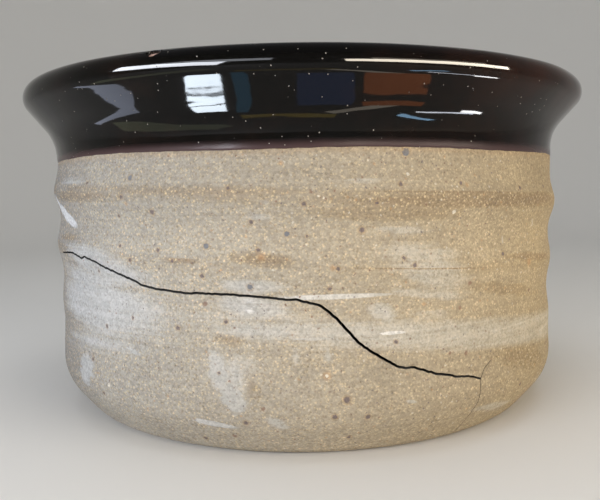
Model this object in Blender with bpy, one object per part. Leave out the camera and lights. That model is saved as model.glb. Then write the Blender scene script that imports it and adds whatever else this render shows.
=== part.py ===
"""Wheel-thrown stoneware bowl with a flared lip, dipped in dark glaze, and a crack through its wall.

The bowl is one piece of fired clay. It stands on the floor at z = 0, its axis is Z,
and the cracked side faces -Y. Lengths are in metres. An angle on the wall is counted in
degrees from the front, -Y, and grows to the right, towards +X.
"""

import math

import bmesh
import bpy
from mathutils import Vector

# The outside of the thrown wall, from the chest's radius and the rim's height
CHEST_RADIUS = 0.0764
HEIGHT = 0.0928
NECK_PINCH = 0.0014
NECK_DROP = 0.0152
LIP_OVERHANG = 0.0086
CHEST_DROP = 0.0136
WAIST_PINCH = 0.0009
WAIST_HEIGHT = 0.0340
SHOULDER_PINCH = 0.0001
BEVEL_WIDTH = 0.0089
BEVEL_HEIGHT = 0.0108

NECK_RADIUS = CHEST_RADIUS - NECK_PINCH
NECK_HEIGHT = HEIGHT - NECK_DROP
LIP_RADIUS = NECK_RADIUS + LIP_OVERHANG
CHEST_HEIGHT = NECK_HEIGHT - CHEST_DROP
WAIST_RADIUS = CHEST_RADIUS - WAIST_PINCH
SHOULDER_RADIUS = CHEST_RADIUS - SHOULDER_PINCH
FOOT_RADIUS = SHOULDER_RADIUS - BEVEL_WIDTH

# How far each corner of the section is rounded
LIP_OUTER_ROUND = 0.0037
LIP_INNER_ROUND = 0.0034
NECK_ROUND = 0.0120
CHEST_ROUND = 0.0400
WAIST_ROUND = 0.0900
SHOULDER_ROUND = 0.0125
FOOT_ROUND = 0.0065
INNER_NECK_ROUND = 0.0160
INNER_CORNER_ROUND = 0.0200

# The inside, and the turned underside
LIP_THICKNESS = 0.0080
WALL_THICKNESS = 0.0062
FLOOR_THICKNESS = 0.0082
FOOT_RING_WIDTH = 0.0134
RECESS_DEPTH = 0.0012
RECESS_SLOPE = 0.0020

INNER_RADIUS = CHEST_RADIUS - WALL_THICKNESS
INNER_NECK_RADIUS = NECK_RADIUS - WALL_THICKNESS
MID_WALL_RADIUS = NECK_RADIUS - WALL_THICKNESS / 2

# One finger ridge climbs the wall as a helix, deepest near the glaze line
RIDGE_PITCH = 0.0162
RIDGE_HEIGHT_AT_FRONT = 0.0613
RIDGE_DEPTH = 0.0016
RIDGE_START = 0.0170
RIDGE_DROP = 0.0166
RIDGE_FADE = 0.0125
RIDGE_SHARPNESS = 1.2
RIDGE_MEAN = 0.4

RIDGE_DEEPEST = NECK_HEIGHT - RIDGE_DROP

# The rim is not quite level: it is highest at this angle on the wall
RIM_TILT = 0.0006
RIM_HIGH_SIDE = math.radians(-90)

# The glaze coat ends in a small step, on a line that a hand dipped
GLAZE_DROP = 0.0061
GLAZE_COAT = 0.00035
GLAZE_EDGE = 0.0007
DIP_TILT = 0.00055
DIP_TILT_ANGLE = math.radians(-50)
DIP_WAVE = 0.00018
DIP_WAVES = 7
DIP_REACH = 0.0060

GLAZE_LINE = NECK_HEIGHT - GLAZE_DROP

# The crack: angle on the wall in degrees, height and opening in metres
CRACK_ROUTE = (
    (-60.5, 0.0469, 0.00010),
    (-58.0, 0.0471, 0.00020),
    (-53.4, 0.0474, 0.00028),
    (-51.6, 0.0471, 0.00030),
    (-48.9, 0.0463, 0.00030),
    (-47.3, 0.0469, 0.00026),
    (-43.0, 0.0458, 0.00034),
    (-41.2, 0.0450, 0.00036),
    (-37.2, 0.0436, 0.00038),
    (-32.4, 0.0419, 0.00038),
    (-30.8, 0.0410, 0.00038),
    (-28.3, 0.0405, 0.00034),
    (-21.6, 0.0397, 0.00034),
    (-18.3, 0.0399, 0.00034),
    (-16.6, 0.0397, 0.00034),
    (-13.8, 0.0398, 0.00034),
    (-10.0, 0.0395, 0.00034),
    (-5.8, 0.0390, 0.00034),
    (-3.2, 0.0386, 0.00034),
    (-1.9, 0.0387, 0.00036),
    (-0.6, 0.0381, 0.00040),
    (1.9, 0.0373, 0.00046),
    (3.4, 0.0359, 0.00048),
    (4.9, 0.0342, 0.00054),
    (6.2, 0.0321, 0.00062),
    (7.4, 0.0304, 0.00062),
    (8.3, 0.0289, 0.00058),
    (10.3, 0.0268, 0.00050),
    (13.6, 0.0240, 0.00042),
    (15.7, 0.0224, 0.00038),
    (16.9, 0.0220, 0.00034),
    (18.6, 0.0220, 0.00032),
    (20.8, 0.0209, 0.00036),
    (22.9, 0.0198, 0.00036),
    (25.3, 0.0192, 0.00034),
    (27.3, 0.0184, 0.00030),
    (30.0, 0.0180, 0.00028),
    (33.0, 0.0168, 0.00026),
)

# A hairline crosses the crack's right end and runs down over the bevel to the foot's edge
HAIRLINE_ROUTE = (
    (35.9, 0.0206, 0.00014),
    (34.0, 0.0191, 0.00016),
    (33.0, 0.0168, 0.00018),
    (32.9, 0.0140, 0.00016),
    (32.9, 0.0112, 0.00016),
    (32.1, 0.0086, 0.00015),
    (32.1, 0.0058, 0.00015),
    (31.8, 0.0030, 0.00014),
    (31.6, -0.0008, 0.00014),
)
HAIRLINE_DEPTH = 0.0030
CUTTER_CLEARANCE = 0.0015

# Fineness of the mesh
SEGMENTS = 76
WALL_STEP = 0.0028
ARC_STEP = math.radians(19)
SHARP_ANGLE = math.radians(35)

CLAY_COLOUR = (0.44, 0.37, 0.27, 1.0)
GLAZE_COLOUR = (0.006, 0.005, 0.004, 1.0)
CLAY_ROUGHNESS = 0.85
GLAZE_ROUGHNESS = 0.07


def clear_scene():
    for obj in list(bpy.data.objects):
        bpy.data.objects.remove(obj)


def material(name, colour, roughness):
    made = bpy.data.materials.new(name)
    made.use_nodes = True
    shader = made.node_tree.nodes["Principled BSDF"]
    shader.inputs["Base Color"].default_value = colour
    shader.inputs["Roughness"].default_value = roughness
    shader.inputs["Metallic"].default_value = 0.0
    return made


def flare_lean():
    """The flare's angle from the vertical. It leaves the neck and just touches the lip's round."""
    across = LIP_OVERHANG - LIP_OUTER_ROUND
    up = NECK_DROP - LIP_OUTER_ROUND
    return math.atan2(across, up) + math.asin(LIP_OUTER_ROUND / math.hypot(across, up))


def section_corners():
    """The half section's corners as (radius, height, rounding): underside, outside, lip, inside."""
    flare_top = NECK_RADIUS + NECK_DROP * math.tan(flare_lean())
    recess_edge = FOOT_RADIUS - FOOT_RING_WIDTH
    return (
        (0.0, RECESS_DEPTH, 0.0),
        (recess_edge - RECESS_SLOPE, RECESS_DEPTH, 0.0),
        (recess_edge, 0.0, 0.0),
        (FOOT_RADIUS, 0.0, FOOT_ROUND),
        (SHOULDER_RADIUS, BEVEL_HEIGHT, SHOULDER_ROUND),
        (WAIST_RADIUS, WAIST_HEIGHT, WAIST_ROUND),
        (CHEST_RADIUS, CHEST_HEIGHT, CHEST_ROUND),
        (NECK_RADIUS, NECK_HEIGHT, NECK_ROUND),
        (flare_top, HEIGHT, LIP_OUTER_ROUND),
        (LIP_RADIUS - LIP_THICKNESS, HEIGHT, LIP_INNER_ROUND),
        (INNER_NECK_RADIUS, NECK_HEIGHT, INNER_NECK_ROUND),
        (INNER_RADIUS, FLOOR_THICKNESS, INNER_CORNER_ROUND),
        (0.0, FLOOR_THICKNESS, 0.0),
    )


def rounded_corner(before, corner, after, rounding):
    """The arc that replaces a corner, as points. It is tangent to both of the corner's sides."""
    into = (before - corner).normalized()
    out = (after - corner).normalized()
    half_angle = into.angle(out) / 2
    reach = rounding / math.tan(half_angle)
    centre = corner + (into + out).normalized() * (rounding / math.sin(half_angle))
    start = corner + into * reach - centre
    turn = start.angle_signed(corner + out * reach - centre)
    steps = max(2, math.ceil(abs(turn) / ARC_STEP))
    points = []
    for step in range(steps + 1):
        angle = -turn * step / steps
        cosine, sine = math.cos(angle), math.sin(angle)
        points.append(centre + Vector((
            start.x * cosine - start.y * sine,
            start.x * sine + start.y * cosine,
        )))
    return points


def rounded_section():
    """The half section as points (radius, height), from the axis below to the axis above."""
    corners = section_corners()
    places = [Vector(corner[:2]) for corner in corners]
    points = [places[0]]
    for index in range(1, len(corners) - 1):
        rounding = corners[index][2]
        if rounding > 0:
            points += rounded_corner(places[index - 1], places[index], places[index + 1], rounding)
        else:
            points.append(places[index])
    points.append(places[-1])
    return points


def with_even_steps(points):
    """Adds points to the straight runs of the outside, for the finger ridge to bend."""
    spaced = [points[0]]
    for start, end in zip(points, points[1:]):
        on_wall = min(start.x, end.x) > MID_WALL_RADIUS and end.y > start.y
        pieces = max(1, math.ceil((end - start).length / WALL_STEP)) if on_wall else 1
        for piece in range(1, pieces + 1):
            spaced.append(start.lerp(end, piece / pieces))
    return spaced


def outer_run(points):
    """The points of the outside alone, from the foot's edge up to the lip's widest ring."""
    widest = max(range(len(points)), key=lambda index: points[index].x)
    foot = max(index for index in range(widest) if points[index].y <= 0.0)
    return points[foot:widest + 1]


def with_glaze_edge(points):
    """Adds the two rings of the glaze coat's edge, which stands out from the clay below it."""
    edged = []
    for start, end in zip(points, points[1:]):
        edged.append(start)
        if end.y > start.y and start.x > MID_WALL_RADIUS:
            for height in (GLAZE_LINE - GLAZE_EDGE / 2, GLAZE_LINE + GLAZE_EDGE / 2):
                if start.y < height < end.y:
                    edged.append(start.lerp(end, (height - start.y) / (end.y - start.y)))
    edged.append(points[-1])
    return edged


def radius_at(run, height):
    """The outside's radius at a height, before the ridge and the glaze."""
    if height <= run[0].y:
        return run[0].x
    for start, end in zip(run, run[1:]):
        if start.y <= height <= end.y and end.y > start.y:
            return start.lerp(end, (height - start.y) / (end.y - start.y)).x
    return run[-1].x


def ridge_offset(height, angle):
    """How far the finger ridge moves the wall out, at a height and an angle in radians."""
    rising = (height - RIDGE_START) / (RIDGE_DEEPEST - RIDGE_START)
    fading = (RIDGE_DEEPEST + RIDGE_FADE - height) / RIDGE_FADE
    depth = RIDGE_DEPTH * max(0.0, min(rising, fading, 1.0))
    turns = (height - RIDGE_HEIGHT_AT_FRONT) / RIDGE_PITCH + angle / math.tau
    crest = (0.5 + 0.5 * math.cos(math.tau * turns)) ** RIDGE_SHARPNESS
    return depth * (crest - RIDGE_MEAN)


def dip_offset(angle):
    """How far the glaze line lies above its mean height at an angle."""
    tilt = DIP_TILT * math.cos(angle - DIP_TILT_ANGLE)
    return tilt + DIP_WAVE * math.sin(DIP_WAVES * angle)


def rim_offset(height, angle):
    """How far the rim's tilt lifts a point: nothing at the neck, all of it at the lip."""
    share = (height - NECK_HEIGHT) / NECK_DROP
    return RIM_TILT * max(0.0, share) * math.cos(angle - RIM_HIGH_SIDE)


def throw_by_hand(mesh):
    """Tilts the rim, winds the ridge up the outside, and gives the glaze its dipped edge."""
    for vertex in mesh.verts:
        radius = math.hypot(vertex.co.x, vertex.co.y)
        height = vertex.co.z
        angle = math.atan2(vertex.co.x, -vertex.co.y)
        vertex.co.z += rim_offset(height, angle)
        if radius < MID_WALL_RADIUS or height < RIDGE_START:
            continue
        grown = radius + ridge_offset(height, angle)
        if GLAZE_LINE < height < NECK_HEIGHT:
            grown += GLAZE_COAT * min(1.0, (NECK_HEIGHT - height) / DIP_REACH)
        vertex.co.x *= grown / radius
        vertex.co.y *= grown / radius
        near_line = max(0.0, 1.0 - abs(height - GLAZE_LINE) / DIP_REACH)
        vertex.co.z += dip_offset(angle) * near_line


def make_bowl(section, clay, glaze):
    """Turns the section about Z into one closed body, and gives its glazed faces their own material."""
    data = bpy.data.meshes.new("bowl")
    mesh = bmesh.new()
    ring = [mesh.verts.new((0.0, -point.x, point.y)) for point in section]
    profile = [mesh.edges.new(pair) for pair in zip(ring, ring[1:])]
    bmesh.ops.spin(
        mesh,
        geom=ring + profile,
        axis=(0, 0, 1),
        cent=(0, 0, 0),
        angle=math.tau,
        steps=SEGMENTS,
        use_merge=True,
    )
    bmesh.ops.remove_doubles(mesh, verts=mesh.verts, dist=1e-6)
    inner_floor = FLOOR_THICKNESS - 1e-6
    for face in mesh.faces:
        middle = face.calc_center_median()
        inside = math.hypot(middle.x, middle.y) < MID_WALL_RADIUS
        glazed = middle.z > GLAZE_LINE or (inside and middle.z > inner_floor)
        face.material_index = 1 if glazed else 0
    throw_by_hand(mesh)
    bmesh.ops.recalc_face_normals(mesh, faces=mesh.faces)
    mesh.to_mesh(data)
    mesh.free()
    data.materials.append(clay)
    data.materials.append(glaze)
    bowl = bpy.data.objects.new("bowl", data)
    bpy.context.scene.collection.objects.link(bowl)
    return bowl


def on_wall(radius, angle, height):
    return Vector((radius * math.sin(angle), -radius * math.cos(angle), height))


def make_crack(name, route, run, depth):
    """A thin ribbon along a route on the wall, which cuts the wall to a depth below its surface."""
    mesh = bmesh.new()
    developed = [Vector((math.radians(a) * radius_at(run, h), h)) for a, h, _ in route]
    rows = []
    for index, (degrees, height, opening) in enumerate(route):
        before = developed[max(0, index - 1)]
        after = developed[min(len(route) - 1, index + 1)]
        along = (after - before).normalized()
        across = Vector((-along.y, along.x)) * (opening / 2)
        surface = radius_at(run, height)
        row = []
        for side, reach in ((1, CUTTER_CLEARANCE), (-1, CUTTER_CLEARANCE), (-1, -depth), (1, -depth)):
            angle = math.radians(degrees) + side * across.x / surface
            row.append(mesh.verts.new(on_wall(surface + reach, angle, height + side * across.y)))
        rows.append(row)
    for here, there in zip(rows, rows[1:]):
        for corner in range(4):
            after = (corner + 1) % 4
            mesh.faces.new((here[corner], here[after], there[after], there[corner]))
    mesh.faces.new(reversed(rows[0]))
    mesh.faces.new(rows[-1])
    bmesh.ops.triangulate(mesh, faces=mesh.faces)
    bmesh.ops.recalc_face_normals(mesh, faces=mesh.faces)
    data = bpy.data.meshes.new(name)
    mesh.to_mesh(data)
    mesh.free()
    cutter = bpy.data.objects.new(name, data)
    bpy.context.scene.collection.objects.link(cutter)
    return cutter


def cut(body, cutter):
    """Cuts the body for good, so that the rims of the cut can be marked sharp afterwards."""
    modifier = body.modifiers.new(cutter.name, "BOOLEAN")
    modifier.operation = "DIFFERENCE"
    modifier.solver = "EXACT"
    modifier.object = cutter
    with bpy.context.temp_override(object=body, active_object=body):
        bpy.ops.object.modifier_apply(modifier=modifier.name)
    bpy.data.objects.remove(cutter)


def smooth_but_for_sharp_edges(body):
    body.data.shade_smooth()
    body.data.set_sharp_from_angle(angle=SHARP_ANGLE)


def main():
    clear_scene()
    clay = material("bare_stoneware", CLAY_COLOUR, CLAY_ROUGHNESS)
    glaze = material("black_brown_glaze", GLAZE_COLOUR, GLAZE_ROUGHNESS)
    section = with_glaze_edge(with_even_steps(rounded_section()))
    run = outer_run(section)
    bowl = make_bowl(section, clay, glaze)
    through = WALL_THICKNESS + 2 * CUTTER_CLEARANCE
    cut(bowl, make_crack("crack_cutter", CRACK_ROUTE, run, through))
    cut(bowl, make_crack("hairline_cutter", HAIRLINE_ROUTE, run, HAIRLINE_DEPTH))
    smooth_but_for_sharp_edges(bowl)


main()
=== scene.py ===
import math
import bpy
from mathutils import Matrix, Vector, noise


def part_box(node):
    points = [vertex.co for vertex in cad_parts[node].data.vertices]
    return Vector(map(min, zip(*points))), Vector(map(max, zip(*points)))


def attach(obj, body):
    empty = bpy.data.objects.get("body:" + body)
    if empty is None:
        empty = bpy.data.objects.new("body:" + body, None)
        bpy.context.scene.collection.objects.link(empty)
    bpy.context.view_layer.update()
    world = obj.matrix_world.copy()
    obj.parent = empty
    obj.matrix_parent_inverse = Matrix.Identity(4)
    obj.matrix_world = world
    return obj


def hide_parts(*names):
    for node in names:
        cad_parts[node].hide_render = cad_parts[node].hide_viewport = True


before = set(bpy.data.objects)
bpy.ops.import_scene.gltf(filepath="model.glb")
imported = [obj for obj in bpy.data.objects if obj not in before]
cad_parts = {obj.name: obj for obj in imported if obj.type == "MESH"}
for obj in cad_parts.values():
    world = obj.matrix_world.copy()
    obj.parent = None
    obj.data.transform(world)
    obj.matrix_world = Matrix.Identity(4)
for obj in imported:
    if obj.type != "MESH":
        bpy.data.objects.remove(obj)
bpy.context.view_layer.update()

mm = 0.001
bowlLow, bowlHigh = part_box("bowl")
rimTilt = 0.6 * mm  # the rim is this much higher on the left than at the front
axisRadius = 1 * mm  # points this close to the axis stay where they are

# The thrown form. Width and height come from the frame, the rest are the same steps as the solid's
form = {
    "height": bowlHigh.z - rimTilt,
    "lipRadius": (bowlHigh.x - bowlLow.x) / 2,
    "lipOverhang": 8.6 * mm,
    "neckPinch": 1.4 * mm,
    "neckDrop": 15.2 * mm,
    "chestDrop": 13.6 * mm,
    "waistPinch": 0.9 * mm,
    "waistHeight": 34.0 * mm,
    "shoulderPinch": 0.1 * mm,
    "bevelWidth": 8.9 * mm,
    "bevelHeight": 10.8 * mm,
    "lipOuterRound": 3.7 * mm,
    "lipInnerRound": 3.4 * mm,
    "neckRound": 12.0 * mm,
    "chestRound": 40.0 * mm,
    "waistRound": 90.0 * mm,
    "shoulderRound": 12.5 * mm,
    "footRound": 6.5 * mm,
    "innerNeckRound": 16.0 * mm,
    "innerCornerRound": 20.0 * mm,
    "lipThickness": 8.0 * mm,
    "wall": 6.2 * mm,
    "floor": 8.2 * mm,
    "footRingWidth": 13.4 * mm,
    "recessDepth": 1.2 * mm,
    "recessSlope": 2.0 * mm,
    "around": 336,  # facets round the bowl
    "outerStep": 0.95 * mm,
    "innerStep": 3.2 * mm,
    "arcStep": math.radians(6),
}
neckRadius = form["lipRadius"] - form["lipOverhang"]
chestRadius = neckRadius + form["neckPinch"]
footRadius = chestRadius - form["shoulderPinch"] - form["bevelWidth"]
neckHeight = form["height"] - form["neckDrop"]
chestHeight = neckHeight - form["chestDrop"]
midWall = neckRadius - form["wall"] / 2

# What the hand left on it: one finger ridge that winds up the wall, and finer throwing lines
hand = {
    "ridgePitch": 16.2 * mm,
    "ridgeAtFront": 61.3 * mm,
    "ridgeDepth": 1.6 * mm,
    "ridgeStart": 17.0 * mm,
    "ridgeDeepest": neckHeight - 16.6 * mm,
    "ridgeFade": 12.5 * mm,
    "ridgeSharpness": 1.2,
    "ridgeMean": 0.4,
    "lineDepth": 0.05 * mm,
    "lineHeight": 1.6 * mm,
    "lineLength": 111.1 * mm,
    "dentDepth": 0.16 * mm,
    "dentSize": 17.0 * mm,
}

# The dip: where the glaze ends, and how thick its coat is
dip = {
    "line": neckHeight - 6.1 * mm,
    "tilt": 0.55 * mm,
    "tiltAngle": math.radians(-50),
    "wave": 0.18 * mm,
    "waves": 7,
    "reach": 6.0 * mm,
    "ragged": 0.16 * mm,
    "raggedSize": 3.0 * mm,
    "coat": 0.40 * mm,
    "under": 0.30 * mm,
    "nose": 0.10 * mm,
    "taper": 0.30 * mm,  # the coat thins out by this much over the last few millimetres
    "taperReach": 3.4 * mm,
    "stainReach": 4.0 * mm,  # iron from the glaze stains the clay this far from the line
}


def deselectAll():
    for one in bpy.context.selected_objects:
        one.select_set(False)


def makeActive(piece):
    deselectAll()
    piece.select_set(True)
    bpy.context.view_layer.objects.active = piece


def applyModifiers(piece):
    makeActive(piece)
    for modifier in list(piece.modifiers):
        bpy.ops.object.modifier_apply(modifier=modifier.name)


def flareLean():
    across = form["lipOverhang"] - form["lipOuterRound"]
    up = form["neckDrop"] - form["lipOuterRound"]
    return math.atan2(across, up) + math.asin(form["lipOuterRound"] / math.hypot(across, up))


def sectionCorners():
    # radius, height and rounding of each corner: underside, outside, lip, inside
    flareTop = neckRadius + form["neckDrop"] * math.tan(flareLean())
    recessEdge = footRadius - form["footRingWidth"]
    return [
        (0.0, form["recessDepth"], 0.0),
        (recessEdge - form["recessSlope"], form["recessDepth"], 0.0),
        (recessEdge, 0.0, 0.0),
        (footRadius, 0.0, form["footRound"]),
        (chestRadius - form["shoulderPinch"], form["bevelHeight"], form["shoulderRound"]),
        (chestRadius - form["waistPinch"], form["waistHeight"], form["waistRound"]),
        (chestRadius, chestHeight, form["chestRound"]),
        (neckRadius, neckHeight, form["neckRound"]),
        (flareTop, form["height"], form["lipOuterRound"]),
        (form["lipRadius"] - form["lipThickness"], form["height"], form["lipInnerRound"]),
        (neckRadius - form["wall"], neckHeight, form["innerNeckRound"]),
        (chestRadius - form["wall"], form["floor"], form["innerCornerRound"]),
        (0.0, form["floor"], 0.0),
    ]


def coatCorners():
    # the part of the same section that was dipped: from the glaze line over the lip to the middle
    above = (dip["line"] - chestHeight) / (neckHeight - chestHeight)
    start = (chestRadius + (neckRadius - chestRadius) * above, dip["line"], 0.0)
    return [start] + sectionCorners()[7:]


def extrudeTo(pen, place):
    step = place - pen
    bpy.ops.mesh.extrude_region_move(TRANSFORM_OT_translate={"value": (0, -step.x, step.y)})
    return place


def drawSection(name, corners):
    # a wire in the YZ plane: each straight run is extruded, each round corner is spun about its centre
    deselectAll()
    bpy.ops.mesh.primitive_plane_add(size=1.0, location=(0, 0, 0))
    piece = bpy.context.object
    piece.name = name
    bpy.ops.object.mode_set(mode="EDIT")
    bpy.ops.mesh.merge(type="CENTER")
    places = [Vector((corner[0], corner[1])) for corner in corners]
    pen = places[0]
    bpy.ops.transform.translate(value=(0, -pen.x, pen.y))
    for index in range(1, len(corners)):
        corner, rounding = places[index], corners[index][2]
        if rounding > 0:
            into = (places[index - 1] - corner).normalized()
            out = (places[index + 1] - corner).normalized()
            half = into.angle(out) / 2
            reach = rounding / math.tan(half)
            centre = corner + (into + out).normalized() * (rounding / math.sin(half))
            start, end = corner + into * reach, corner + out * reach
            turn = (start - centre).angle_signed(end - centre)
            pen = extrudeTo(pen, start)
            bpy.ops.mesh.spin(
                steps=max(3, math.ceil(abs(turn) / form["arcStep"])),
                angle=-turn,
                center=(0, -centre.x, centre.y),
                axis=(1, 0, 0),
            )
            pen = end
        else:
            pen = extrudeTo(pen, corner)
    bpy.ops.object.mode_set(mode="OBJECT")
    return piece


def shareOutRuns(piece):
    # shares the long straight runs out into steps, so that the hand's marks have points to move
    makeActive(piece)
    while True:
        cuts = 0
        for edge in piece.data.edges:
            ends = [piece.data.vertices[index].co for index in edge.vertices]
            outside = min(-end.y for end in ends) > midWall
            steps = math.ceil((ends[0] - ends[1]).length / form["outerStep" if outside else "innerStep"])
            edge.select = steps > 1 and cuts == 0
            if edge.select:
                cuts = steps - 1
        if cuts == 0:
            return
        bpy.ops.object.mode_set(mode="EDIT")
        bpy.ops.mesh.select_mode(type="EDGE")
        bpy.ops.mesh.subdivide(number_cuts=cuts)
        bpy.ops.mesh.select_all(action="DESELECT")
        bpy.ops.object.mode_set(mode="OBJECT")


def turnRound(piece, steps):
    makeActive(piece)
    bpy.ops.object.mode_set(mode="EDIT")
    bpy.ops.mesh.select_mode(type="VERT")
    bpy.ops.mesh.select_all(action="SELECT")
    bpy.ops.mesh.spin(steps=steps, angle=math.tau, center=(0, 0, 0), axis=(0, 0, 1))
    bpy.ops.mesh.select_all(action="SELECT")
    bpy.ops.mesh.remove_doubles(threshold=0.002 * mm)
    bpy.ops.mesh.normals_make_consistent(inside=False)
    bpy.ops.object.mode_set(mode="OBJECT")
    # an open sheet may come out with its back to the front
    face = max(piece.data.polygons, key=lambda one: one.center.xy.length)
    if face.normal.xy.dot(face.center.xy) < 0:
        bpy.ops.object.mode_set(mode="EDIT")
        bpy.ops.mesh.select_all(action="SELECT")
        bpy.ops.mesh.flip_normals()
        bpy.ops.object.mode_set(mode="OBJECT")


def ridgeOffset(height, angle):
    rising = (height - hand["ridgeStart"]) / (hand["ridgeDeepest"] - hand["ridgeStart"])
    fading = (hand["ridgeDeepest"] + hand["ridgeFade"] - height) / hand["ridgeFade"]
    depth = hand["ridgeDepth"] * max(0.0, min(rising, fading, 1.0))
    turns = (height - hand["ridgeAtFront"]) / hand["ridgePitch"] + angle / math.tau
    crest = (0.5 + 0.5 * math.cos(math.tau * turns)) ** hand["ridgeSharpness"]
    return depth * (crest - hand["ridgeMean"])


def dipOffset(place, angle):
    even = dip["tilt"] * math.cos(angle - dip["tiltAngle"]) + dip["wave"] * math.sin(dip["waves"] * angle)
    return even + dip["ragged"] * noise.noise(Vector((place.x, place.y, 0)) / dip["raggedSize"])


def throwByHand(piece, taper):
    # moves the even, spun surface as the potter's fingers did, and tells the material where the dip ends
    belowLine = piece.data.attributes.new("belowLine", "FLOAT", "POINT")
    thinGlaze = piece.data.attributes.new("thinGlaze", "FLOAT", "POINT")
    for vertex in piece.data.vertices:
        place = vertex.co.copy()
        radius, height = place.xy.length, place.z
        if radius < axisRadius:
            continue
        angle = math.atan2(place.x, -place.y)
        outside = radius > midWall and height > hand["ridgeStart"]
        around = place.xy / hand["lineLength"]
        grown = hand["lineDepth"] * noise.noise(Vector((*around, height / hand["lineHeight"])))
        grown += hand["dentDepth"] * noise.noise(place / hand["dentSize"])
        if outside:
            rise = min(1.0, max(0.0, (height - dip["line"]) / dip["taperReach"]))
            grown += ridgeOffset(height, angle) - taper * (1 - rise) ** 2
            away = abs(height - dip["line"])
            vertex.co.z += dipOffset(place, angle) * max(0.0, 1.0 - away / dip["reach"])
            belowLine.data[vertex.index].value = max(0.0, 1.0 - away / dip["stainReach"])
            thinGlaze.data[vertex.index].value = max(0.0, 1.0 - away / dip["taperReach"])
        share = max(0.0, (height - neckHeight) / form["neckDrop"])
        vertex.co.z += rimTilt * share * math.cos(angle + math.pi / 2)
        vertex.co.x *= 1 + grown / radius
        vertex.co.y *= 1 + grown / radius


bowl = drawSection("stonewareBowl", sectionCorners())
shareOutRuns(bowl)
turnRound(bowl, form["around"])
throwByHand(bowl, 0.0)
bowl.data.attributes.new("broken", "FLOAT", "FACE")
print("thrown bowl:", len(bowl.data.polygons), "faces")

coat = drawSection("glazeCoat", coatCorners())
shareOutRuns(coat)
turnRound(coat, form["around"])
throwByHand(coat, dip["taper"])
shell = coat.modifiers.new("coat", "SOLIDIFY")
shell.thickness = dip["coat"] + dip["under"]
shell.offset = 2 * dip["coat"] / shell.thickness - 1
shell.use_even_offset = True
roll = coat.modifiers.new("roll", "BEVEL")
roll.width = dip["nose"]
roll.segments = 3
roll.limit_method = "ANGLE"
roll.angle_limit = math.radians(50)
applyModifiers(coat)
print("dipped coat:", len(coat.data.polygons), "faces")

# The crack: angle on the wall in degrees, counted from the front to the right, then height and opening in mm
crack = {
    "route": [
        (-60.5, 46.9, 0.10), (-58.0, 47.1, 0.20), (-53.4, 47.4, 0.28), (-51.6, 47.1, 0.30),
        (-48.9, 46.3, 0.30), (-47.3, 46.9, 0.26), (-43.0, 45.8, 0.34), (-41.2, 45.0, 0.36),
        (-37.2, 43.6, 0.38), (-32.4, 41.9, 0.38), (-30.8, 41.0, 0.38), (-28.3, 40.5, 0.34),
        (-21.6, 39.7, 0.34), (-18.3, 39.9, 0.34), (-16.6, 39.7, 0.34), (-13.8, 39.8, 0.34),
        (-10.0, 39.5, 0.34), (-5.8, 39.0, 0.34), (-3.2, 38.6, 0.34), (-1.9, 38.7, 0.36),
        (-0.6, 38.1, 0.36), (1.9, 37.3, 0.38), (3.4, 35.9, 0.40), (4.9, 34.2, 0.42),
        (6.2, 32.1, 0.46), (7.4, 30.4, 0.46), (8.3, 28.9, 0.44), (10.3, 26.8, 0.40),
        (13.6, 24.0, 0.42), (15.7, 22.4, 0.38), (16.9, 22.0, 0.34), (18.6, 22.0, 0.32),
        (20.8, 20.9, 0.36), (22.9, 19.8, 0.36), (25.3, 19.2, 0.34), (27.3, 18.4, 0.30),
        (30.0, 18.0, 0.28), (33.0, 16.8, 0.26),
    ],
    "depth": 9.0 * mm,  # right through the wall
    "jag": 0.12 * mm,
    "jagLength": 0.7 * mm,
    "worn": 0.23,  # mm that its worn lips add to the opening
}

# The hairline that runs on from the crack's right end over the bevel
hairline = {
    "route": [
        (35.9, 20.6, 0.14), (34.0, 19.1, 0.16), (33.0, 16.8, 0.18), (32.9, 14.0, 0.16),
        (32.9, 11.2, 0.16), (32.1, 8.6, 0.15), (32.1, 5.8, 0.15), (31.8, 3.0, 0.14), (31.6, 0.4, 0.14),
    ],
    "depth": 3.0 * mm,
    "jag": 0.07 * mm,
    "jagLength": 0.9 * mm,
    "worn": 0.0,
}
bladeProud = 1.5 * mm  # how far a blade stands out of the wall
jagNoise = {"seed": 7.3, "pace": 1.9, "gain": 2.0}


def outward(angle):
    return Vector((math.sin(angle), -math.cos(angle), 0))


def wallRadius(angle, height):
    away = outward(angle)
    place = bowl.ray_cast(away * 2 * chestRadius + Vector((0, 0, height)), -away)[1]
    return place.xy.length


def jaggedRoute(line):
    # the route with more rows between, each a little off the straight
    rows = []
    for here, there in zip(line["route"], line["route"][1:]):
        here, there = Vector(here), Vector(there)
        across = Vector((math.radians(there.x - here.x) * chestRadius, (there.y - here.y) * mm))
        steps = max(1, round(across.length / line["jagLength"]))
        for step in range(steps):
            row = here.lerp(there, step / steps)
            if step:
                spot = Vector((row.x, row.y, jagNoise["seed"])) * jagNoise["pace"]
                row.y += line["jag"] / mm * noise.noise(spot) * jagNoise["gain"]
            rows.append(row)
    return rows + [Vector(line["route"][-1])]


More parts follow.
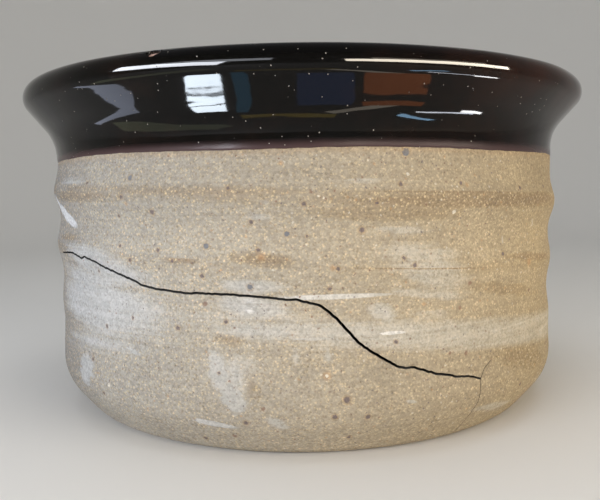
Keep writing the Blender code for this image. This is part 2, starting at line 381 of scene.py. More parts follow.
def crackCutter(name, line):
    rows = jaggedRoute(line)
    places = []
    for row in rows:
        angle, height = math.radians(row.x), row.y * mm
        places.append(outward(angle) * (wallRadius(angle, height) + bladeProud) + Vector((0, 0, height)))
    deselectAll()
    bpy.ops.mesh.primitive_plane_add(size=1.0, location=(0, 0, 0))
    cutter = bpy.context.object
    cutter.name = name
    bpy.ops.object.mode_set(mode="EDIT")
    bpy.ops.mesh.merge(type="CENTER")
    bpy.ops.transform.translate(value=places[0])
    for here, there in zip(places, places[1:]):
        bpy.ops.mesh.extrude_region_move(TRANSFORM_OT_translate={"value": there - here})
    bpy.ops.mesh.select_all(action="SELECT")
    bpy.ops.mesh.extrude_region_move(TRANSFORM_OT_translate={"value": (0, 0, 0)})
    bpy.ops.object.mode_set(mode="OBJECT")
    opening = cutter.vertex_groups.new(name="opening")
    widest = max(row.z for row in rows) + line["worn"]
    for vertex in cutter.data.vertices:
        closest = min(range(len(rows)), key=lambda index: (places[index] - vertex.co).length)
        opening.add([vertex.index], (rows[closest].z + line["worn"]) / widest, "REPLACE")
    for vertex in cutter.data.vertices:
        if vertex.select:
            away = vertex.co.copy()
            away.z = 0
            vertex.co -= away.normalized() * (line["depth"] + bladeProud)
    gap = cutter.modifiers.new("gap", "SOLIDIFY")
    gap.thickness = widest * mm
    gap.offset = 0
    gap.vertex_group = "opening"
    applyModifiers(cutter)
    makeActive(cutter)
    bpy.ops.object.mode_set(mode="EDIT")
    bpy.ops.mesh.select_all(action="SELECT")
    bpy.ops.mesh.quads_convert_to_tris()
    bpy.ops.mesh.normals_make_consistent(inside=False)
    bpy.ops.object.mode_set(mode="OBJECT")
    # the cut faces take this over, and the material darkens them as painted shade
    broken = cutter.data.attributes.new("broken", "FLOAT", "FACE")
    broken.data.foreach_set("value", [1.0] * len(cutter.data.polygons))
    return cutter


def cutOut(piece, cutter):
    cut = piece.modifiers.new("cut", "BOOLEAN")
    cut.operation = "DIFFERENCE"
    cut.solver = "EXACT"
    cut.object = cutter
    applyModifiers(piece)


# A small chip knocked out of the lip's outer edge, left of the middle
chip = {
    "angle": math.radians(-22.8),
    "height": 92.3 * mm,
    "size": (2.1 * mm, 1.4 * mm, 0.9 * mm),
    "bite": 0.95 * mm,
    "lumps": ((1.7, 0.22), (4.1, 0.12)),  # how many to its radius, and how much each adds
    "inward": 1.5 * mm,  # the redder clay is round a point this far inside the lip
    "bared": (4 * mm, 3 * mm),  # where it begins and is full
    "strength": 0.8,
}


def chipCutter():
    # a rough little egg, most of it outside the lip
    away = outward(chip["angle"])
    place, facing = bowl.ray_cast(away * 2 * chestRadius + Vector((0, 0, chip["height"])), -away)[1:3]
    deselectAll()
    bpy.ops.mesh.primitive_ico_sphere_add(subdivisions=4, radius=1.0)
    cutter = bpy.context.object
    cutter.name = "chipCutter"
    out = facing.normalized()
    along = out.cross(Vector((0, 0, 1))).normalized()
    across = out.cross(along)
    size = chip["size"]
    centre = place + out * (size[2] + dip["coat"] - chip["bite"])
    for vertex in cutter.data.vertices:
        egg = vertex.co * (1 + sum(rise * noise.noise(vertex.co * often) for often, rise in chip["lumps"]))
        vertex.co = centre + along * egg.x * size[0] + across * egg.y * size[1] + out * egg.z * size[2]
    return cutter


chipEgg = chipCutter()
cutOut(bowl, chipEgg)
cutOut(coat, chipEgg)
crackBlade = crackCutter("crackBlade", crack)
hairBlade = crackCutter("hairBlade", hairline)
cutOut(bowl, crackBlade)
cutOut(bowl, hairBlade)
cutOut(coat, crackBlade)
for cutter in (chipEgg, crackBlade, hairBlade):
    bpy.data.objects.remove(cutter)
brokenFaces = sum(face.value > 0.5 for face in bowl.data.attributes["broken"].data)
print("cracked:", len(bowl.data.polygons), "faces,", brokenFaces, "of them in the crack")

for piece in (bowl, coat):
    makeActive(piece)
    bpy.ops.object.shade_smooth_by_angle(angle=math.radians(35))
    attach(piece, "root")
    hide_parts("bowl")

# A hand-held shot from close by, a little below the rim's height, looking slightly down
shot = {
    "place": (-1.48 * mm, -224 * mm, 62.8 * mm),
    "lookDown": math.radians(5.06),
    "roll": math.radians(-1.04),
    "lens": 40.8,
    "wide": 600,
    "high": 500,
    "nudges": 20,  # a place just outside the outline is moved in by up to so many pixels
}

bpy.ops.object.camera_add(location=(0, 0, 0))
camera = bpy.context.object
camera.name = "camera"
camera.data.lens = shot["lens"]
camera.data.clip_start = 10 * mm
camera.matrix_world = (
    Matrix.Translation(shot["place"])
    @ Matrix.Rotation(math.pi / 2 - shot["lookDown"], 4, "X")
    @ Matrix.Rotation(shot["roll"], 4, "Z")
)
bpy.context.scene.camera = camera
bpy.context.view_layer.update()


def wallPlace(across, down):
    # the point of the bowl that stands at this place in the 600 x 500 picture, or just inside its outline
    pixels = shot["lens"] / camera.data.sensor_width * shot["wide"]
    centre = Vector((shot["wide"] / 2, shot["high"] / 2))
    spot = Vector((across, down))
    for nudge in range(shot["nudges"]):
        aim = camera.matrix_world.to_3x3() @ Vector((spot.x - centre.x, centre.y - spot.y, -pixels))
        found, place = bowl.ray_cast(camera.matrix_world.translation, aim.normalized())[:2]
        if found:
            return place
        spot += (centre - spot).normalized()
    raise ValueError(f"nothing of the bowl is near {across}, {down}")


def unrolled(place):
    # along the wall in mm from the front, and up in mm
    return Vector((math.atan2(place.x, -place.y) * chestRadius / mm, place.z / mm, 0))


def colour(text):
    channels = [int(text[start:start + 2], 16) / 255 for start in (1, 3, 5)]
    return [c / 12.92 if c <= 0.04045 else ((c + 0.055) / 1.055) ** 2.4 for c in channels] + [1.0]


def addNode(tree, kind, inputs=(), out=0, **settings):
    # inputs is a list in the order of the sockets, or a dictionary; each is a value or another node's output
    made = tree.nodes.new("ShaderNode" + kind)
    for name, value in settings.items():
        setattr(made, name, value)
    for socket, value in inputs.items() if isinstance(inputs, dict) else enumerate(inputs):
        if isinstance(value, bpy.types.NodeSocket):
            tree.links.new(value, made.inputs[socket])
        else:
            made.inputs[socket].default_value = value
    return made.outputs[out]


eased = {"interpolation_type": "SMOOTHSTEP"}
inColour = {"data_type": "RGBA", "out": 2}


def newMaterial(name, piece):
    made = bpy.data.materials.new(name)
    made.use_nodes = True
    piece.data.materials.clear()
    piece.data.materials.append(made)
    return made.node_tree, made.node_tree.nodes["Principled BSDF"]


def stretch(around, up):
    # the scale that makes a pattern so long round the bowl and so high
    return (1 / around, 1 / around, 1 / up)


def specks(tree, place, cell, radius, kept, soft):
    # round grains of one radius in mm, about one to each cell of the clay, and only a share of them kept
    cells = addNode(tree, "TexVoronoi", {"Vector": place, "Scale": 1000 / cell, "Randomness": 1.0})
    chance = addNode(tree, "SeparateColor", [cells.node.outputs["Color"]])
    near = addNode(tree, "MapRange", [cells, radius / cell, radius / cell * (1 - soft)], **eased)
    held = addNode(tree, "MapRange", [chance, 1 - kept, 1 - kept + 0.02], **eased)
    return addNode(tree, "Math", [near, held], operation="MULTIPLY"), chance.node.outputs[1]


def nearest(tree, place, spots, reach):
    # 1 in the middle of a placed spot, 0 at reach times its radius
    best = None
    for across, down, size in spots:
        apart = addNode(tree, "VectorMath", [place, wallPlace(across, down)], out=1, operation="DISTANCE")
        near = addNode(tree, "MapRange", [apart, 0.0, size * mm / 2 * reach, 1.0, 0.0])
        best = near if best is None else addNode(tree, "Math", [best, near], operation="MAXIMUM")
    return best


# Bare grogged stoneware, thrown and fired without glaze: dry and matt, buff, full of yellow grog and
# iron spots, with a pale skin of wiped slip over it. Places are read off the picture.
clay = {
    # colours: the fired body from left to right (its far left side darkened as painted shade, its
    # cool-to-warm change partly the clay's own and partly painted cool light on the left and warm light on
    # the right), slip, grog, iron
    # painted shade: the far left side of the bowl darkens to this
    "edge": "#6a6766",
    "left": "#a39d92",
    "middle": "#a99c86",
    "right": "#a69068",
    "shade": "#82694a",
    "slipLeft": "#b6b8bb",
    "slipRight": "#c1b397",
    "thickLeft": "#dfe1e6",
    "thickRight": "#e2dacb",
    "grog": "#dac39a",
    "paleGrog": "#e4dccb",
    "orangeGrog": "#c49058",
    "brownGrog": "#85714f",
    "redIron": "#7d5a47",
    "iron": "#61555a",
    "blueIron": "#6b7079",
    "halo": "#ab8a5c",
    "chip": "#b08c80",
    # painted shade for the walls of the crack
    "crackShade": "#17171b",
    "streakSize": (45.45 * mm, 1.282 * mm),  # round the bowl and up
    "lineSize": (62.5 * mm, 0.5882 * mm),
    # patterns that run no way in particular: how big, how detailed, how rough
    "noises": {
        "cloud": (16.67 * mm, 3.0, 0.55),
        "blotch": (3.846 * mm, 6.0, 0.7),
        "grain": (0.4545 * mm, 3.0, 0.7),
    },
    "patchSize": 0.6 * mm,
    "stray": 0.9 * mm,  # how far the outlines of grains and spots stray
    # how much each pattern lightens or darkens the clay, and how high it stands against the grain
    "swings": {"streak": 0.3, "cloud": 0.36, "grain": 0.66, "patchwork": 0.32, "lines": 0.3},
    "heights": {"grog": 0.5, "streak": 0.9, "lines": 0.5},
    # painted shade under the lip's overhang and low on the wall, where little light comes from below, and a
    # painted highlight on the foot's bevel:
    # two heights in mm and how light the clay is at each
    "paintedLightAndShade": ((44, 68, 1.0, 0.86), (9, 42, 0.87, 1.0), (3, 12, 1.09, 1.0)),
    # grains: tint, cell and radius in mm, share kept, softness, least and greatest strength
    "grogs": (
        ("brownGrog", 0.75, 0.38, 0.75, 0.6, 0.1, 0.8),
        ("grog", 0.64, 0.36, 0.85, 0.65, 0.1, 1.0),
        ("paleGrog", 1.4, 0.32, 0.35, 0.6, 0.2, 0.8),
        ("orangeGrog", 1.9, 0.42, 0.4, 0.7, 0.1, 0.7),
    ),
    "irons": (
        ("redIron", 1.6, 0.34, 0.6, 0.6, 0.1, 0.85),
        ("iron", 1.2, 0.28, 0.55, 0.6, 0.1, 0.85),
    ),
    # spots that stand out: how many times its radius one reaches, then in layers the tint, where on
    # the way in it begins and is full, and its strength
    "spotLayers": (
        ("orangeSpots", 1.8, (("orangeGrog", 0.0, 0.9, 0.45),)),
        ("paleSpots", 1.8, (("paleGrog", 0.2, 0.6, 0.9),)),
        ("ironSpots", 2.3, (("halo", 0.0, 0.5, 0.4), ("iron", 0.38, 0.7, 0.85))),
        ("redSpots", 2.2, (("redIron", 0.2, 0.7, 0.75),)),
        ("blueSpots", 2.2, (("halo", 0.0, 0.5, 0.35), ("blueIron", 0.4, 0.62, 0.9))),
    ),
    "crest": (0.16, 0.02, 0.0, 0.4),  # two distances in turns from the ridge's middle, and how brown at each
    "crestFrom": (38 * mm, 52 * mm),
    "crestPatches": (0.35, 0.6),
    "bareShade": 0.7,
    "fray": (0.7, 1.3, -0.9, 0.9),
    "brushFray": 0.24,
    "brushFrom": 0.08,
    "leastFilm": 0.12,  # slip that lies everywhere
    "bareLifts": 0.55,  # slip that a bare place loses
    "thickFrom": 0.78,
    "filled": (0.3, 0.6, 1.0, 1.6),  # slip lies in the low of the grain first
    # how far the crack's walls go to that painted shade
    "crackShadeShare": 0.93,
    "stain": (0.55, 1.0, 0.0, 0.35),
    "bump": (0.55, 0.12 * mm),
    "roughness": (0.2, 0.8, 0.82, 0.98),
    "specular": 0.25,
    # where the spots are: across, down, size in mm
    "ironSpots": [
        (121, 197, 0.9), (152, 212, 1.1), (119, 216, 0.7), (87, 183, 0.7), (120, 246, 0.7), (158, 250, 0.8),
        (130, 260, 0.8), (172, 261, 0.7), (202, 276, 0.9), (99, 271, 0.7), (178, 328, 0.9), (133, 318, 0.7),
        (107, 326, 0.8), (226, 322, 0.8), (228, 188, 0.7), (304, 204, 0.9), (251, 222, 0.8), (258, 250, 0.8),
        (307, 236, 0.6), (362, 230, 1.1), (377, 203, 0.7), (338, 269, 0.8), (330, 289, 0.8), (401, 184, 0.9),
        (461, 183, 0.8), (520, 188, 0.9), (543, 186, 0.9), (503, 254, 0.9), (404, 258, 0.8), (415, 265, 0.9),
        (93, 359, 0.8), (219, 373, 0.6), (246, 423, 1.0), (206, 438, 0.9), (104, 393, 0.7), (347, 400, 1.3),
        (335, 417, 1.0), (368, 417, 1.0), (349, 437, 0.9), (396, 342, 0.8), (520, 384, 0.8),
    ],
    "redSpots": [
        (205, 304, 0.9), (470, 283, 0.9), (460, 308, 0.8), (529, 290, 0.8), (466, 353, 0.9), (450, 353, 0.7),
        (235, 436, 0.9), (263, 409, 0.8), (311, 192, 0.6),
    ],
    "blueSpots": [(130, 178, 1.2), (206, 246, 1.2), (406, 152, 1.6), (287, 234, 1.1), (250, 287, 1.2)],
    "orangeSpots": [
        (327, 376, 1.8), (529, 262, 1.8), (261, 257, 1.6), (333, 268, 1.2), (281, 163, 0.9), (424, 304, 0.9),
        (126, 204, 0.9), (467, 185, 0.9),
    ],
    "paleSpots": [(408, 174, 0.7), (109, 385, 0.9), (327, 376, 0.7), (454, 212, 0.9)],
    # strokes of slip: the ends in the picture, how broad in mm, how strong, how soft the edge is
    "slip": [
        (50, 288, 200, 322, 19.0, 0.7, 0.5), (62, 242, 172, 286, 10.0, 0.72, 0.5),
        (54, 268, 160, 290, 9.0, 0.66, 0.6), (110, 300, 330, 313, 10.5, 0.76, 0.5),
        (205, 300, 302, 312, 7.0, 0.88, 0.6), (196, 326, 330, 332, 6.0, 0.7, 0.7),
        (208, 284, 300, 288, 4.5, 0.78, 0.6), (362, 228, 446, 232, 2.6, 0.6, 0.6),
        (366, 250, 474, 253, 3.6, 0.6, 0.6), (396, 274, 452, 284, 2.2, 0.75, 0.5),
        (358, 238, 484, 292, 15.0, 0.62, 0.7), (374, 289, 476, 298, 3.0, 0.68, 0.5),
        (362, 302, 402, 322, 6.5, 0.85, 0.7), (400, 316, 458, 312, 3.0, 0.5, 0.7),
        (56, 335, 200, 346, 8.0, 0.6, 0.8), (214, 366, 264, 384, 16.0, 0.72, 0.9),
        (262, 418, 294, 429, 3.6, 0.74, 0.6), (286, 447, 342, 446, 2.2, 0.7, 0.6),
        (466, 411, 514, 399, 3.0, 0.7, 0.6), (322, 343, 332, 366, 2.6, 0.66, 0.7),
        (292, 344, 298, 368, 2.2, 0.64, 0.7), (238, 216, 280, 217, 2.2, 0.6, 0.6),
        (256, 202, 274, 203, 2.0, 0.6, 0.6), (332, 182, 394, 178, 2.6, 0.5, 0.7),
        (58, 182, 94, 180, 2.0, 0.6, 0.6), (536, 398, 545, 366, 2.6, 0.62, 0.6),
        (533, 322, 549, 320, 3.0, 0.55, 0.7),
    ],
    # and where it was wiped off again, or never lay
    "bare": [
        (296, 200, 560, 199, 4.2, 0.85, 0.4), (468, 197, 556, 197, 3.0, 1.0, 0.5),
        (276, 211, 480, 213, 5.0, 0.55, 0.6), (54, 195, 136, 196, 3.4, 0.75, 0.6),
        (90, 190, 330, 192, 3.4, 0.6, 0.6), (220, 256, 306, 264, 3.8, 0.85, 0.6),
        (498, 256, 554, 256, 2.4, 0.9, 0.5), (440, 282, 540, 292, 4.5, 0.4, 0.7),
        (470, 352, 545, 356, 9.0, 0.4, 0.7), (212, 338, 248, 343, 3.0, 0.65, 0.6),
        (60, 236, 84, 238, 2.4, 0.5, 0.6), (236, 352, 262, 412, 5.0, 0.45, 0.7),
    ],
    # strokes that are too thin or too sharp to be painted on the mesh; the last number is how frayed
    "crispSlip": [
        (55, 194, 64, 216, 4.0, 0.92, 0.35, 0.08), (60, 205, 71, 222, 4.4, 0.92, 0.35, 0.08),
        (64, 212, 79, 228, 3.4, 0.92, 0.35, 0.08), (262, 297.5, 406, 293, 1.5, 0.87, 0.35, 0.15),
        (284, 339, 346, 338, 0.9, 0.8, 0.5, 0.4), (374, 334, 412, 331, 1.1, 0.95, 0.4, 0.25),
        (380, 343, 470, 334, 1.4, 0.55, 0.6, 0.4), (190, 419, 240, 428, 1.7, 0.86, 0.35, 0.25),
        (404, 401, 419, 402, 1.2, 0.76, 0.6, 0.3), (502, 234, 503, 245, 1.0, 0.7, 0.5, 0.2),
        (532, 217, 533, 227, 1.1, 0.6, 0.5, 0.2), (124, 346, 144, 357, 1.8, 0.72, 0.6, 0.4),
        (90, 350, 86, 388, 10.5, 0.7, 0.45, 0.3), (212, 348, 224, 394, 6.4, 0.78, 0.45, 0.25),
        (222, 378, 244, 416, 6.4, 0.76, 0.5, 0.35),
    ],
    "crispBare": [
        (330, 267.5, 508, 266.5, 0.5, 0.9, 0.5, 0.25), (150, 259, 216, 262, 1.6, 0.8, 0.6, 0.4),
        (288, 190.5, 572, 190.5, 0.9, 0.8, 0.6, 0.3),
    ],
}


def strokeBox(left, top, right, bottom, broad):
    # the middle, the turn and the half sizes of a stroke on the unrolled wall
    start, end = unrolled(wallPlace(left, top)), unrolled(wallPlace(right, bottom))
    half = (end - start) / 2
    return start + half, math.atan2(half.y, half.x), (half.length, broad / 2)


def paint(piece, name, strokes):
    # broad strokes go on the points of the mesh, as with a weight brush
    painted = piece.data.attributes.new(name, "FLOAT", "POINT")
    boxes = [strokeBox(*stroke[:5]) + stroke[5:] for stroke in strokes]
    for vertex in piece.data.vertices:
        if vertex.co.y > 0 or vertex.co.xy.length < midWall:
            continue
        here = unrolled(vertex.co)
        for centre, turn, size, strength, soft in boxes:
            apart = here - centre
            along = apart.x * math.cos(turn) + apart.y * math.sin(turn)
            across = apart.y * math.cos(turn) - apart.x * math.sin(turn)
            inside = (1 - math.hypot(along / size[0], across / size[1])) / soft
            if inside > 0:
                value = strength * min(1.0, inside)
                painted.data[vertex.index].value = max(painted.data[vertex.index].value, value)


def wiped(tree, wall, fray, strokes):
    # the crisp strokes are long ovals on the unrolled wall; the strongest at a place counts
    shown = None
    for left, top, right, bottom, broad, strength, soft, frayed in strokes:
        centre, turn, size = strokeBox(left, top, right, bottom, broad)
        inside = addNode(tree, "Mapping", [wall, centre, (0, 0, turn), (*size, 1)], vector_type="TEXTURE")
        away = addNode(tree, "VectorMath", [inside], out=1, operation="LENGTH")
        away = addNode(tree, "Math", [fray, frayed, away], operation="MULTIPLY_ADD")
        stroke = addNode(tree, "MapRange", [away, 1.0, 1.0 - soft, 0.0, strength], **eased)
        shown = stroke if shown is None else addNode(tree, "Math", [shown, stroke], operation="MAXIMUM")
    return shown


def scattered(tree, place, body, kind):
    # lays one kind of grain over the body colour, each grain as strong as chance has it
    tint, cell, radius, kept, soft, least, most = kind
    grains, chance = specks(tree, place, cell, radius, kept, soft)
    share = addNode(tree, "MapRange", [chance, 0.0, 1.0, least, most])
    share = addNode(tree, "Math", [grains, share], operation="MULTIPLY")
    return addNode(tree, "Mix", {0: share, 6: body, 7: colour(clay[tint])}, **inColour), grains


def makeClay():
    tree, shader = newMaterial("bare grogged stoneware", bowl)
    place = addNode(tree, "TexCoord", out=3)
    x, y, z = addNode(tree, "SeparateXYZ", [place]).node.outputs
    front = addNode(tree, "Math", [y, -1.0], operation="MULTIPLY")
    girth = addNode(tree, "Math", [x, front], operation="ARCTAN2")
    along = addNode(tree, "Math", [girth, chestRadius / mm], operation="MULTIPLY")
    wall = addNode(tree, "CombineXYZ", [along, addNode(tree, "Math", [z, 1 / mm], operation="MULTIPLY")])
    side = addNode(tree, "MapRange", [x, -chestRadius, chestRadius])

    # fired colour: cool on the left, buff in the middle, toasted on the right, partly the clay's own and
    # partly painted cool light on the left and warm light on the right; the far left side darkens to a
    # painted shade
    fired = addNode(tree, "ValToRGB", [side])
    stops = fired.node.color_ramp.elements
    stops[0].color, stops[1].color = colour(clay["edge"]), colour(clay["right"])
    stops[0].position, stops[1].position = 0.0, 0.9
    stops.new(0.16).color = colour(clay["left"])
    stops.new(0.5).color = colour(clay["middle"])

    # the hand's streaks run round the bowl
    pulled = addNode(tree, "Mapping", {0: place, 3: stretch(*clay["streakSize"])})
    streak = addNode(tree, "TexNoise", {"Vector": pulled, "Scale": 1.0, "Detail": 4.0, "Roughness": 0.6})
    patterns = {"streak": streak}
    for name, (size, detail, rough) in clay["noises"].items():
        settings = {"Vector": place, "Scale": 1 / size, "Detail": detail, "Roughness": rough}
        patterns[name] = addNode(tree, "TexNoise", settings)
    cloud, grain = patterns["cloud"], patterns["grain"]
    # grains and spots get ragged outlines from this
    wander = addNode(tree, "VectorMath", [grain.node.outputs["Color"], (0.5, 0.5, 0.5)], operation="SUBTRACT")
    bent = addNode(tree, "VectorMath", [wander, [clay["stray"]] * 3, place], operation="MULTIPLY_ADD")
    patchwork = addNode(tree, "TexVoronoi", {"Vector": bent, "Scale": 1 / clay["patchSize"]}, out=1)
    patterns["patchwork"] = addNode(tree, "SeparateColor", [patchwork])

    # what frays the edges of the strokes, painted and crisp
    fray = addNode(tree, "Math", [streak, patterns["blotch"]], operation="ADD")
    fray = addNode(tree, "MapRange", [fray, *clay["fray"]])
    strokes = []
    for painted, crisp in (("bare", "crispBare"), ("slip", "crispSlip")):
        paint(bowl, painted, clay[painted])
        broad = addNode(tree, "Attribute", out=2, attribute_name=painted)
        broad = addNode(tree, "Math", [fray, clay["brushFray"], broad], operation="MULTIPLY_ADD")
        broad = addNode(tree, "MapRange", [broad, clay["brushFrom"], 1.0])
        sharp = wiped(tree, wall, fray, clay[crisp])
        strokes.append(addNode(tree, "Math", [broad, sharp], operation="MAXIMUM"))
    bare, slip = strokes

    # the crest of the ridge kept less slip and looks browner, all the way round
    perTurn = 1 / hand["ridgePitch"]
    # ten turns more keep it above nought, and half a turn puts the ridge in the middle of its turn
    atFront = 10.5 - hand["ridgeAtFront"] * perTurn
    turns = addNode(tree, "Math", [z, perTurn, atFront], operation="MULTIPLY_ADD")
    turns = addNode(tree, "Math", [girth, 1 / math.tau, turns], operation="MULTIPLY_ADD")
    phase = addNode(tree, "Math", [turns], operation="FRACT")
    phase = addNode(tree, "Math", [phase, 0.5], operation="SUBTRACT")
    phase = addNode(tree, "Math", [phase], operation="ABSOLUTE")
    crest = addNode(tree, "MapRange", [phase, *clay["crest"]], **eased)
    for value, reach in ((z, "crestFrom"), (cloud, "crestPatches")):
        part = addNode(tree, "MapRange", [value, *clay[reach]])
        crest = addNode(tree, "Math", [crest, part], operation="MULTIPLY")
    bare = addNode(tree, "Math", [bare, crest], operation="MAXIMUM")
    share = addNode(tree, "Math", [bare, clay["bareShade"]], operation="MULTIPLY")
    body = addNode(tree, "Mix", {0: share, 6: fired, 7: colour(clay["shade"])}, **inColour)

    # grog is in the clay itself, so that it also shows where the bowl is cut
    for kind in clay["grogs"]:
        body, patterns[kind[0]] = scattered(tree, bent, body, kind)

    # wiped slip: a thin film in soft patches that the grain breaks up, thick and pale only here and there
    film = addNode(tree, "Math", [slip, clay["leastFilm"]], operation="MAXIMUM")
    film = addNode(tree, "Math", [bare, -clay["bareLifts"], film], operation="MULTIPLY_ADD")
    coats = []
    # slip and thick slip also go from cool on the left to warm on the right, partly as painted light
    for tint in ("slip", "thick"):
        left, right = colour(clay[tint + "Left"]), colour(clay[tint + "Right"])
        coats.append(addNode(tree, "Mix", {0: side, 6: left, 7: right}, **inColour))
    share = addNode(tree, "MapRange", [film, clay["thickFrom"], 1.0], **eased)
    skin = addNode(tree, "Mix", {0: share, 6: coats[0], 7: coats[1]}, **inColour)
    filled = addNode(tree, "MapRange", [grain, *clay["filled"]])
    cover = addNode(tree, "Math", [film, filled], operation="MULTIPLY", use_clamp=True)
    body = addNode(tree, "Mix", {0: cover, 6: body, 7: skin}, **inColour)

    # iron, scattered in the clay, then the spots that stand out
    for kind in clay["irons"]:
        body, patterns[kind[0]] = scattered(tree, bent, body, kind)
    for spots, reach, layers in clay["spotLayers"]:
        near = nearest(tree, bent, clay[spots], reach)
        for tint, outer, inner, strength in layers:
            share = addNode(tree, "MapRange", [near, outer, inner, 0.0, strength], **eased)
            body = addNode(tree, "Mix", {0: share, 6: body, 7: colour(clay[tint])}, **inColour)

    # the crack's walls are painted almost black as shade, the chip laid open redder clay, and iron stains the
    # clay under the glaze
    cracked = addNode(tree, "Attribute", out=2, attribute_name="broken")
    shadedCrack = addNode(tree, "Math", [cracked, clay["crackShadeShare"]], operation="MULTIPLY")
    chipMiddle = outward(chip["angle"]) * (form["lipRadius"] - chip["inward"])
    chipMiddle.z = chip["height"]
    chipAway = addNode(tree, "VectorMath", [place, chipMiddle], out=1, operation="DISTANCE")
    chipped = addNode(tree, "MapRange", [chipAway, *chip["bared"], 0.0, chip["strength"]], **eased)
    below = addNode(tree, "Attribute", out=2, attribute_name="belowLine")
    stained = addNode(tree, "MapRange", [below, *clay["stain"]], **eased)
    for share, tint in ((shadedCrack, "crackShade"), (chipped, "chip"), (stained, "halo")):
        body = addNode(tree, "Mix", {0: share, 6: body, 7: colour(clay[tint])}, **inColour)

    # every pattern lightens and darkens it round its mean, the last are the fine level lines of the
    # wiping; then come painted shade under the lip and low on the wall, and a painted highlight on the foot
    combed = addNode(tree, "Mapping", {0: place, 3: stretch(*clay["lineSize"])})
    lines = addNode(tree, "TexNoise", {"Vector": combed, "Scale": 1.0, "Detail": 3.0, "Roughness": 0.6})
    patterns["lines"] = lines
    tone = 1 - sum(clay["swings"].values()) / 2
    for name, swing in clay["swings"].items():
        tone = addNode(tree, "Math", [patterns[name], swing, tone], operation="MULTIPLY_ADD")
    for low, high, lowTone, highTone in clay["paintedLightAndShade"]:
        shade = addNode(tree, "MapRange", [z, low * mm, high * mm, lowTone, highTone], **eased)
        tone = addNode(tree, "Math", [tone, shade], operation="MULTIPLY")
    tinted = addNode(tree, "VectorMath", {0: body, 3: tone}, operation="SCALE")
    tree.links.new(tinted, shader.inputs["Base Color"])

    # dry and gritty: grains stand out by a few hundredths of a millimetre, with pits between
    relief = grain
    for name, rise in clay["heights"].items():
        relief = addNode(tree, "Math", [patterns[name], rise, relief], operation="MULTIPLY_ADD")
    strength, distance = clay["bump"]
    bump = addNode(tree, "Bump", {"Height": relief, "Strength": strength, "Distance": distance})
    tree.links.new(bump, shader.inputs["Normal"])
    roughness = addNode(tree, "MapRange", [grain, *clay["roughness"]])
    tree.links.new(roughness, shader.inputs["Roughness"])
    shader.inputs["Specular IOR Level"].default_value = clay["specular"]


# Iron glaze, fired to a black-brown glass over the lip and the inside: deep gloss, violet-brown where it
# runs thin, rusty on the right, with a few pinholes
glaze = {
    "deep": "#070605",
    "warm": "#150d09",
    "thin": "#4a3838",
    "rust": "#30190f",
    "pinhole": "#b5aea4",
    "cloudSize": 11.11 * mm,
    "waveSize": (11.11 * mm, 3.333 * mm),  # round the lip and up
    "peelSize": 1.111 * mm,
    "warmPatches": (0.45, 0.75),
    "rustFrom": (5 * mm, 80 * mm),  # more iron shows on the right
    "rustPatches": (0.3, 0.65, 0.2, 1.0),
    "rustUp": (80 * mm, 88 * mm, 0.3, 1.0),
    "thinFrom": (0.25, 1.0),
    "pinholes": (1.9, 0.17, 0.8, 0.5),  # cell and radius in mm, share kept, softness
    "pinholeShare": 0.8,
    "pinholeDepth": 0.5,
    "peelHeight": 0.05,
    "bump": (0.7, 0.06 * mm),
    "roughness": (0.2, 1.0, 0.05, 0.24),
    "index": 1.5,
    "specular": 0.16,
}


def makeGlaze():
    tree, shader = newMaterial("iron black-brown glaze", coat)
    place = addNode(tree, "TexCoord", out=3)
    x, y, z = addNode(tree, "SeparateXYZ", [place]).node.outputs
    settings = {"Vector": place, "Scale": 1 / glaze["cloudSize"], "Detail": 4.0, "Roughness": 0.6}
    cloud = addNode(tree, "TexNoise", settings)
    warm = addNode(tree, "MapRange", [cloud, *glaze["warmPatches"]], **eased)
    rusty = addNode(tree, "MapRange", [x, *glaze["rustFrom"]], **eased)
    for value, reach in ((cloud, "rustPatches"), (z, "rustUp")):
        part = addNode(tree, "MapRange", [value, *glaze[reach]], **eased)
        rusty = addNode(tree, "Math", [rusty, part], operation="MULTIPLY")
    edge = addNode(tree, "Attribute", out=2, attribute_name="thinGlaze")
    thin = addNode(tree, "MapRange", [edge, *glaze["thinFrom"]], **eased)
    pinholes = specks(tree, place, *glaze["pinholes"])[0]
    pricked = addNode(tree, "Math", [pinholes, glaze["pinholeShare"]], operation="MULTIPLY")
    body = colour(glaze["deep"])
    for share, tint in ((warm, "warm"), (rusty, "rust"), (thin, "thin"), (pricked, "pinhole")):
        body = addNode(tree, "Mix", {0: share, 6: body, 7: colour(glaze[tint])}, **inColour)
    tree.links.new(body, shader.inputs["Base Color"])

    # the melt lies in low waves that run round the lip, with a finer orange peel over them
    level = addNode(tree, "Mapping", {0: place, 3: stretch(*glaze["waveSize"])})
    wave = addNode(tree, "TexNoise", {"Vector": level, "Scale": 1.0, "Detail": 1.5})
    peel = addNode(tree, "TexNoise", {"Vector": place, "Scale": 1 / glaze["peelSize"], "Detail": 2.0})
    relief = addNode(tree, "Math", [peel, glaze["peelHeight"], wave], operation="MULTIPLY_ADD")
    relief = addNode(tree, "Math", [pinholes, -glaze["pinholeDepth"], relief], operation="MULTIPLY_ADD")
    strength, distance = glaze["bump"]
    bump = addNode(tree, "Bump", {"Height": relief, "Strength": strength, "Distance": distance})
    tree.links.new(bump, shader.inputs["Normal"])
    roughness = addNode(tree, "MapRange", [edge, *glaze["roughness"]], **eased)
    tree.links.new(roughness, shader.inputs["Roughness"])
    shader.inputs["IOR"].default_value = glaze["index"]
    shader.inputs["Specular IOR Level"].default_value = glaze["specular"]


makeClay()
makeGlaze()
print("materials:", *(len(piece.active_material.node_tree.nodes) for piece in (bowl, coat)), "nodes")

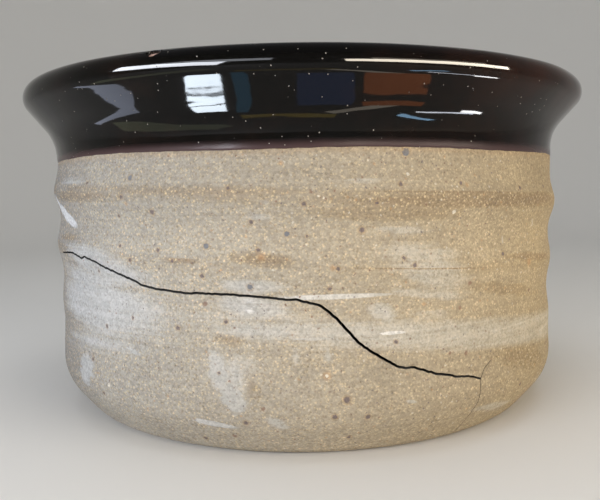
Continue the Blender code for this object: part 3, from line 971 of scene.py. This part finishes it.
# A round paper sweep, pale and plain
studio = {
    "radius": 1.1,
    "cove": 0.5,
    "high": 1.3,
    "around": 96,
    "below": 0.02 * mm,  # so that it does not fight with the foot
    "paper": "#e4e3e0",
    "paperRoughness": 0.9,
    "paperSpecular": 0.2,
    "world": "#dfe3e8",
    "worldStrength": 0.26,
}
radius = studio["radius"]
sweep = drawSection("sweep", [(0, 0, 0), (radius, 0, studio["cove"]), (radius, studio["high"], 0)])
turnRound(sweep, studio["around"])
makeActive(sweep)
bpy.ops.object.shade_smooth()
sweep.location.z = -studio["below"]
shader = newMaterial("matt paper", sweep)[1]
shader.inputs["Base Color"].default_value = colour(studio["paper"])
shader.inputs["Roughness"].default_value = studio["paperRoughness"]
shader.inputs["Specular IOR Level"].default_value = studio["paperSpecular"]

world = bpy.data.worlds.new("soft room")
bpy.context.scene.world = world
world.use_nodes = True
air = world.node_tree.nodes["Background"]
air.inputs["Color"].default_value = colour(studio["world"])
air.inputs["Strength"].default_value = studio["worldStrength"]

# Softboxes, all turned to the middle of the bowl: where each stands and how big it is in metres, and
# its power in watts
bowlMiddle = Vector((0, 0, 0.05))
lamps = {
    "boxLeft": {"at": (-0.31, -0.50, 0.22), "size": (0.46, 0.12), "power": 1.98, "tint": "#f2f6ff"},
    "boxRight": {"at": (0.42, -0.42, 0.20), "size": (0.46, 0.12), "power": 1.42, "tint": "#fff0da"},
    "over": {"at": (0.0, -0.10, 0.95), "size": (0.8, 0.8), "power": 2.75, "tint": "#ffffff"},
}


def addLight(name, at, size, power, tint):
    bpy.ops.object.light_add(type="AREA", location=at)
    made = bpy.context.object
    made.name = name
    made.data.shape = "RECTANGLE"
    made.data.size, made.data.size_y = size
    made.data.energy = power
    made.data.color = colour(tint)[:3]
    return made


for name, lamp in lamps.items():
    made = addLight(name, lamp["at"], lamp["size"], lamp["power"], lamp["tint"])
    made.rotation_euler = (Vector(lamp["at"]) - bowlMiddle).to_track_quat("Z", "Y").to_euler()
    made.visible_glossy = name != "over"

# Small lit cards. They light nothing and only show in the gloss of the lip: most lie flat on the floor in
# front, where the underside of the lip sees them, and two strips stand up for the streaks on its rounding.
# Place and size in mm, turn on the floor or tilt when upright in degrees, and how bright a card is
cards = {
    "brightUpper": {"at": (-67, -106, 1.5), "size": (26, 22), "turn": -20, "glow": 70.0, "tint": "#e6f3ff"},
    "brightLower": {"at": (-62, -92, 1.5), "size": (26, 5), "turn": -20, "glow": 70.0, "tint": "#e6f3ff"},
    "dimBlue": {"at": (-44, -116, 1.5), "size": (10, 40), "turn": -20, "glow": 5.0, "tint": "#3f7fa0"},
    "ochre": {"at": (-16, -161, 1.5), "size": (90, 11), "turn": -4, "glow": 6.0, "tint": "#a08a30"},
    "olive": {"at": (-180, -150, 1.4), "size": (200, 66), "turn": -58, "glow": 3.8, "tint": "#8f9676"},
    "greyWedge": {"at": (-175, -36, 1.5), "size": (120, 16), "turn": -20, "glow": 6.0, "tint": "#c9d2ea"},
    "whiteRight": {"at": (145, -74, 1.5), "size": (34, 9), "turn": 38, "glow": 55.0, "tint": "#ffffff"},
    "paleBlue": {"at": (122, -141, 1.5), "size": (60, 10), "turn": -5, "glow": 26.0, "tint": "#9ccbf0"},
    "brown": {"at": (62, -100, 1.5), "size": (50, 13), "turn": 20, "glow": 7.0, "tint": "#b8642e"},
    "sand": {"at": (44, -125, 1.5), "size": (70, 13), "turn": 50, "glow": 8.0, "tint": "#cfc4b2"},
    "navy": {"at": (14, -106, 1.5), "size": (34, 16), "turn": 0, "glow": 3.6, "tint": "#34558f"},
    "streakWhite": {"at": (128, -98, 1.5), "size": (70, 6), "turn": 40, "glow": 38.0, "tint": "#eef4ff"},
    "stripLeft": {"at": (-196, -210, 118), "size": (205, 56), "tilt": -14, "glow": 65.0, "tint": "#f2f6ff"},
    "stripRight": {"at": (195, -218, 110), "size": (330, 46), "tilt": 3, "glow": 65.0, "tint": "#fff3df"},
}
lipMiddle = Vector((0, 0, form["height"]))
for name, card in cards.items():
    at = Vector(card["at"]) * mm
    wide, high = card["size"][0] * mm, card["size"][1] * mm
    made = addLight(name, at, (wide, high), card["glow"] * math.pi * wide * high, card["tint"])
    if "turn" in card:
        made.rotation_euler = (math.pi, 0, math.radians(card["turn"]))
    else:
        facing = (at - lipMiddle).to_track_quat("Z", "Y").to_matrix().to_4x4()
        made.rotation_euler = (facing @ Matrix.Rotation(math.radians(card["tilt"]), 4, "Z")).to_euler()
    made.visible_diffuse = False

bpy.context.scene.view_settings.view_transform = "Standard"
print("studio:", len(lamps), "softboxes,", len(cards), "cards")
